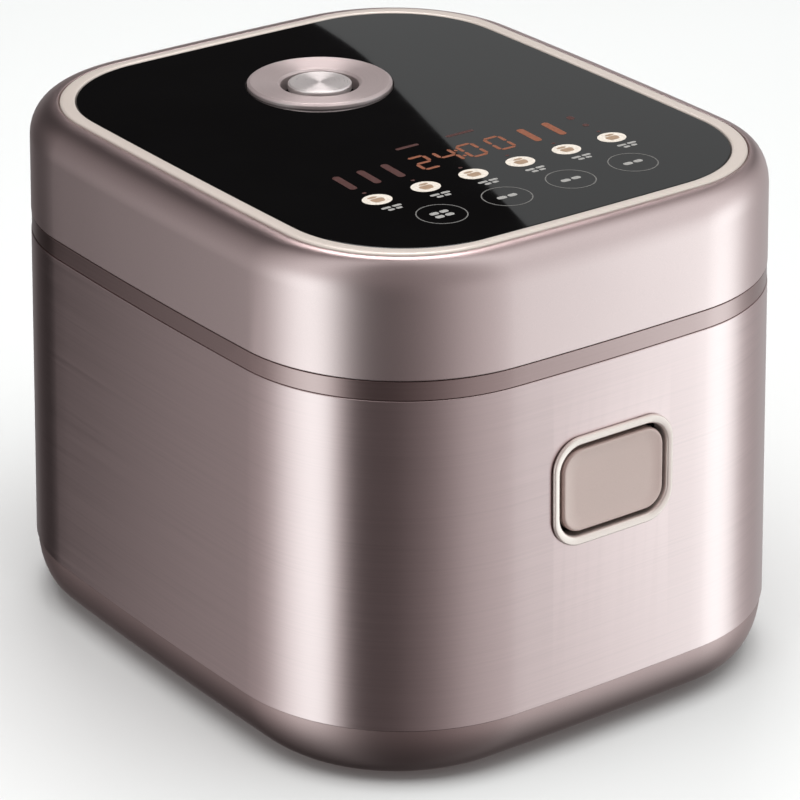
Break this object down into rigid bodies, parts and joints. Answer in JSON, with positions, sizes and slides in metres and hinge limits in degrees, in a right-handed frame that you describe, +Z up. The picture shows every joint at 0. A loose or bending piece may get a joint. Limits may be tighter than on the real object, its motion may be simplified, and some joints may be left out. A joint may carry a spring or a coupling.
{
  "type": "rice cooker",
  "caption": "Rice cooker with a hinged glass-topped lid, inner pot, lift-off steam vent and a front release button.",
  "frame": {"origin": "on the floor, in the middle of the cooker's footprint with its hinge", "axes": "+Z up, +Y from the front with the release button towards the hinge at the back, +X to the right seen from the front"},
  "size_m": [0.2572, 0.316, 0.2315],
  "materials": {
    "brushed_rose": "horizontally brushed, rose gold",
    "satin_rose": "smooth satin rose gold",
    "base_rose": "smooth darker rose",
    "band_rose": "dark rose-brown, semi-gloss",
    "champagne": "bright satin champagne",
    "satin_champagne": "satin champagne",
    "vent_metal": "circular-brushed rose",
    "black_glass": "gloss black glass, opaque",
    "black_plastic": "fine texture",
    "grey_plastic": "smooth",
    "white_plastic": "smooth",
    "silicone": "soft, translucent white",
    "rubber": "matte",
    "steel": "plain zinc-plated",
    "aluminium": "satin",
    "pot_coat": "dark non-stick coating",
    "copper": "enamelled copper wire",
    "ferrite": "dark sintered",
    "circuit": "green board"
  },
  "bodies": {
    "base": {"outer_shell": "brushed_rose", "base_pan": "base_rose", "upper_collar": "band_rose", "chamber_liner": "aluminium", "coil_carrier": "white_plastic", "induction_coil": "copper", "ferrite_bar_1": "ferrite", "ferrite_bar_2": "ferrite", "ferrite_bar_3": "ferrite", "ferrite_bar_4": "ferrite", "sensor_holder": "white_plastic", "sensor_spring": "steel", "power_board": "circuit", "heat_sink": "aluminium", "fan_frame": "black_plastic", "power_inlet": "black_plastic", "inlet_pin_line": "steel", "inlet_pin_neutral": "steel", "inlet_pin_earth": "steel", "button_bezel": "champagne", "latch_bracket": "steel", "latch_pin": "steel", "button_spring_left": "steel", "button_spring_right": "steel", "hinge_pin": "steel", "hinge_spring_left": "steel", "hinge_spring_right": "steel", "foot_1": "rubber", "foot_2": "rubber", "foot_3": "rubber", "foot_4": "rubber", "base_screw_1": "steel", "base_screw_2": "steel", "base_screw_3": "steel", "base_screw_4": "steel"},
    "pot": {"inner_pot": "pot_coat"},
    "sensor": {"sensor_cap": "aluminium"},
    "fan": {"fan_rotor": "grey_plastic"},
    "button": {"release_button": "satin_champagne"},
    "latch": {"latch_hook": "steel"},
    "lid": {"lid_shell": "satin_rose", "rim_trim": "champagne", "glass_panel": "black_glass", "lid_liner": "white_plastic", "lid_catch": "steel", "inner_lid_plate": "aluminium", "inner_lid_gasket": "silicone", "inner_lid_clip": "silicone", "steam_seal": "silicone", "display_board": "circuit", "led_display": "black_plastic", "touch_strip": "rubber", "lid_screw_1": "steel", "lid_screw_2": "steel", "lid_screw_3": "steel", "lid_screw_4": "steel"},
    "vent": {"vent_ring": "vent_metal", "vent_cup": "black_plastic", "vent_disc": "vent_metal"},
    "float": {"vent_float": "silicone"}
  },
  "joints": [
    {"name": "lid_hinge", "type": "hinge", "parent": "base", "child": "lid", "pos_m": [0, 0.151, 0.182], "axis": [-1, 0, 0], "range_deg": [0, 90], "deforming": ["hinge_spring_left", "hinge_spring_right"]},
    {"name": "vent_lift", "type": "slide", "parent": "lid", "child": "vent", "axis": [0, 0, 1], "range_m": [0, 0.045]},
    {"name": "float_rise", "type": "slide", "parent": "vent", "child": "float", "axis": [0, 0, 1], "range_m": [0, 0.003]},
    {"name": "button_press", "type": "slide", "parent": "base", "child": "button", "axis": [0, 1, 0], "range_m": [0, 0.0026], "stiffness_N_per_m": 600, "springref_m": -0.003, "deforming": ["button_spring_left", "button_spring_right"]},
    {"name": "latch_turn", "type": "hinge", "parent": "base", "child": "latch", "pos_m": [0, -0.14, 0.146], "axis": [1, 0, 0], "range_deg": [0, 5]},
    {"name": "sensor_press", "type": "slide", "parent": "base", "child": "sensor", "axis": [0, 0, -1], "range_m": [0, 0.002], "stiffness_N_per_m": 300, "springref_m": -0.004, "deforming": ["sensor_spring"]},
    {"name": "fan_spin", "type": "hinge", "parent": "base", "child": "fan", "pos_m": [0, 0.078, 0.0144], "axis": [0, 0, 1], "continuous": true},
    {"name": "pot_turn", "type": "hinge", "parent": "base", "child": "pot", "pos_m": [0, -0.016, 0.1], "axis": [0, 0, 1], "continuous": true}
  ],
  "couplings": [
    {"joint": "latch_turn", "follows": "button_press", "rad_per_m": 33.56}
  ]
}
